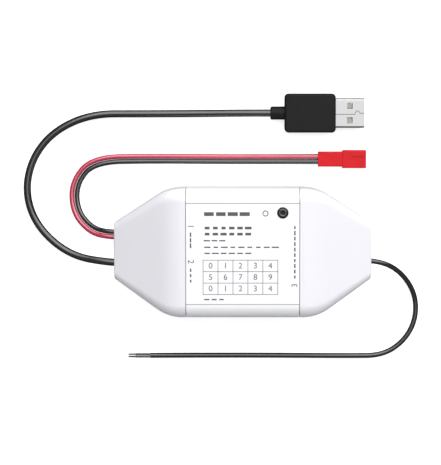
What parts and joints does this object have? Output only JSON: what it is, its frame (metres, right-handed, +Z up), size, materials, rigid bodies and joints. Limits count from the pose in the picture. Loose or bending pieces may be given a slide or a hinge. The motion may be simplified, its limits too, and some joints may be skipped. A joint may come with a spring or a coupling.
{
  "type": "garage door controller",
  "caption": "White flat-based control box with sloping ends, a recessed button, a USB power cord, a red and black sensor lead and a signal cord.",
  "frame": {"origin": "on the surface it stands on, under the middle of the housing", "axes": "+X along the housing to the signal cord's end, +Y to the button's side, +Z up out of the label"},
  "size_m": [0.163, 0.1094, 0.0264],
  "materials": {
    "cover_white": "smooth satin moulding",
    "base_white": "fine-textured moulding",
    "label_white": "thin smooth printed sheet",
    "button_black": "smooth",
    "screw_steel": "zinc plated",
    "clamp_grey": "moulded",
    "terminal_green": "moulded",
    "tinned_metal": "tinned",
    "cord_black": "soft vinyl jacket, satin",
    "wire_red": "soft vinyl insulation, satin",
    "wire_black": "soft vinyl insulation, satin",
    "board_green": "solder mask on glass laminate",
    "component_black": "moulded epoxy",
    "light_chip_white": "clear resin on white",
    "guide_clear": "clear acrylic",
    "radio_board_black": "dark solder mask",
    "shield_metal": "tinned sheet",
    "trace_gold": "gold plated",
    "can_aluminium": "drawn can",
    "sleeve_black": "shrink sleeve",
    "chip_tan": "fired ceramic",
    "relay_blue": "moulded",
    "relay_iron": "plated soft iron",
    "bobbin_white": "moulded",
    "coil_copper": "enamelled wire",
    "overmould_black": "soft vinyl moulding",
    "shell_nickel": "nickel plated sheet",
    "insulator_white": "moulded",
    "connector_red": "moulded nylon"
  },
  "bodies": {
    "housing": {"antenna": "trace_gold", "base_tray": "base_white", "black_wire": "wire_black", "black_wire_inner": "wire_black", "capacitor_can": "can_aluminium", "capacitor_sleeve": "sleeve_black", "case_screws": "screw_steel", "centre_cover": "cover_white", "chip_parts": "chip_tan", "clamp_screws": "screw_steel", "conductor_tips": "tinned_metal", "connector_contacts": "tinned_metal", "fixed_contacts": "trace_gold", "flyback_diode": "component_black", "label_panel": "label_white", "left_cord_clamp": "clamp_grey", "left_end_cover": "cover_white", "light_guide": "guide_clear", "main_board": "board_green", "power_cord": "cord_black", "power_cord_inner": "cord_black", "power_leads": "wire_red", "power_terminal": "terminal_green", "radio_board": "radio_board_black", "red_wire": "wire_red", "red_wire_inner": "wire_red", "regulator": "component_black", "relay_base": "component_black", "relay_bobbin": "bobbin_white", "relay_coil": "coil_copper", "relay_core": "relay_iron", "relay_cover": "relay_blue", "relay_driver": "component_black", "relay_pins": "tinned_metal", "relay_yoke": "relay_iron", "right_cord_clamp": "clamp_grey", "right_end_cover": "cover_white", "sensor_connector": "connector_red", "sensor_terminal": "terminal_green", "shield_can": "shield_metal", "signal_cord": "cord_black", "signal_cord_inner": "cord_black", "signal_leads": "wire_black", "signal_terminal": "terminal_green", "signal_wire_ends": "wire_black", "signal_wire_tips": "tinned_metal", "status_light": "light_chip_white", "switch_body": "component_black", "switch_plate": "screw_steel", "terminal_pins": "tinned_metal", "usb_contacts": "trace_gold", "usb_insulator": "insulator_white", "usb_overmould": "overmould_black", "usb_shell": "shell_nickel"},
    "button": {"reset_button": "button_black"},
    "switch_plunger": {"switch_plunger": "component_black"},
    "armature": {"relay_armature": "relay_iron", "contact_spring": "trace_gold"}
  },
  "joints": [
    {"name": "button_press", "type": "slide", "parent": "housing", "child": "button", "axis": [0, 0, -1], "range_m": [0, 0.0003], "stiffness_N_per_m": 2000, "springref_m": -0.0001},
    {"name": "switch_press", "type": "slide", "parent": "housing", "child": "switch_plunger", "axis": [0, 0, -1], "range_m": [0, 0.0003], "stiffness_N_per_m": 2000, "springref_m": -0.0001},
    {"name": "armature_tilt", "type": "hinge", "parent": "housing", "child": "armature", "pos_m": [0.0094, -0.005, 0.01805], "axis": [0, 1, 0], "range_deg": [0, 3], "stiffness_Nm_per_rad": 0.02, "springref_deg": -5.73}
  ],
  "couplings": [
    {"joint": "switch_press", "follows": "button_press", "ratio": 1}
  ]
}
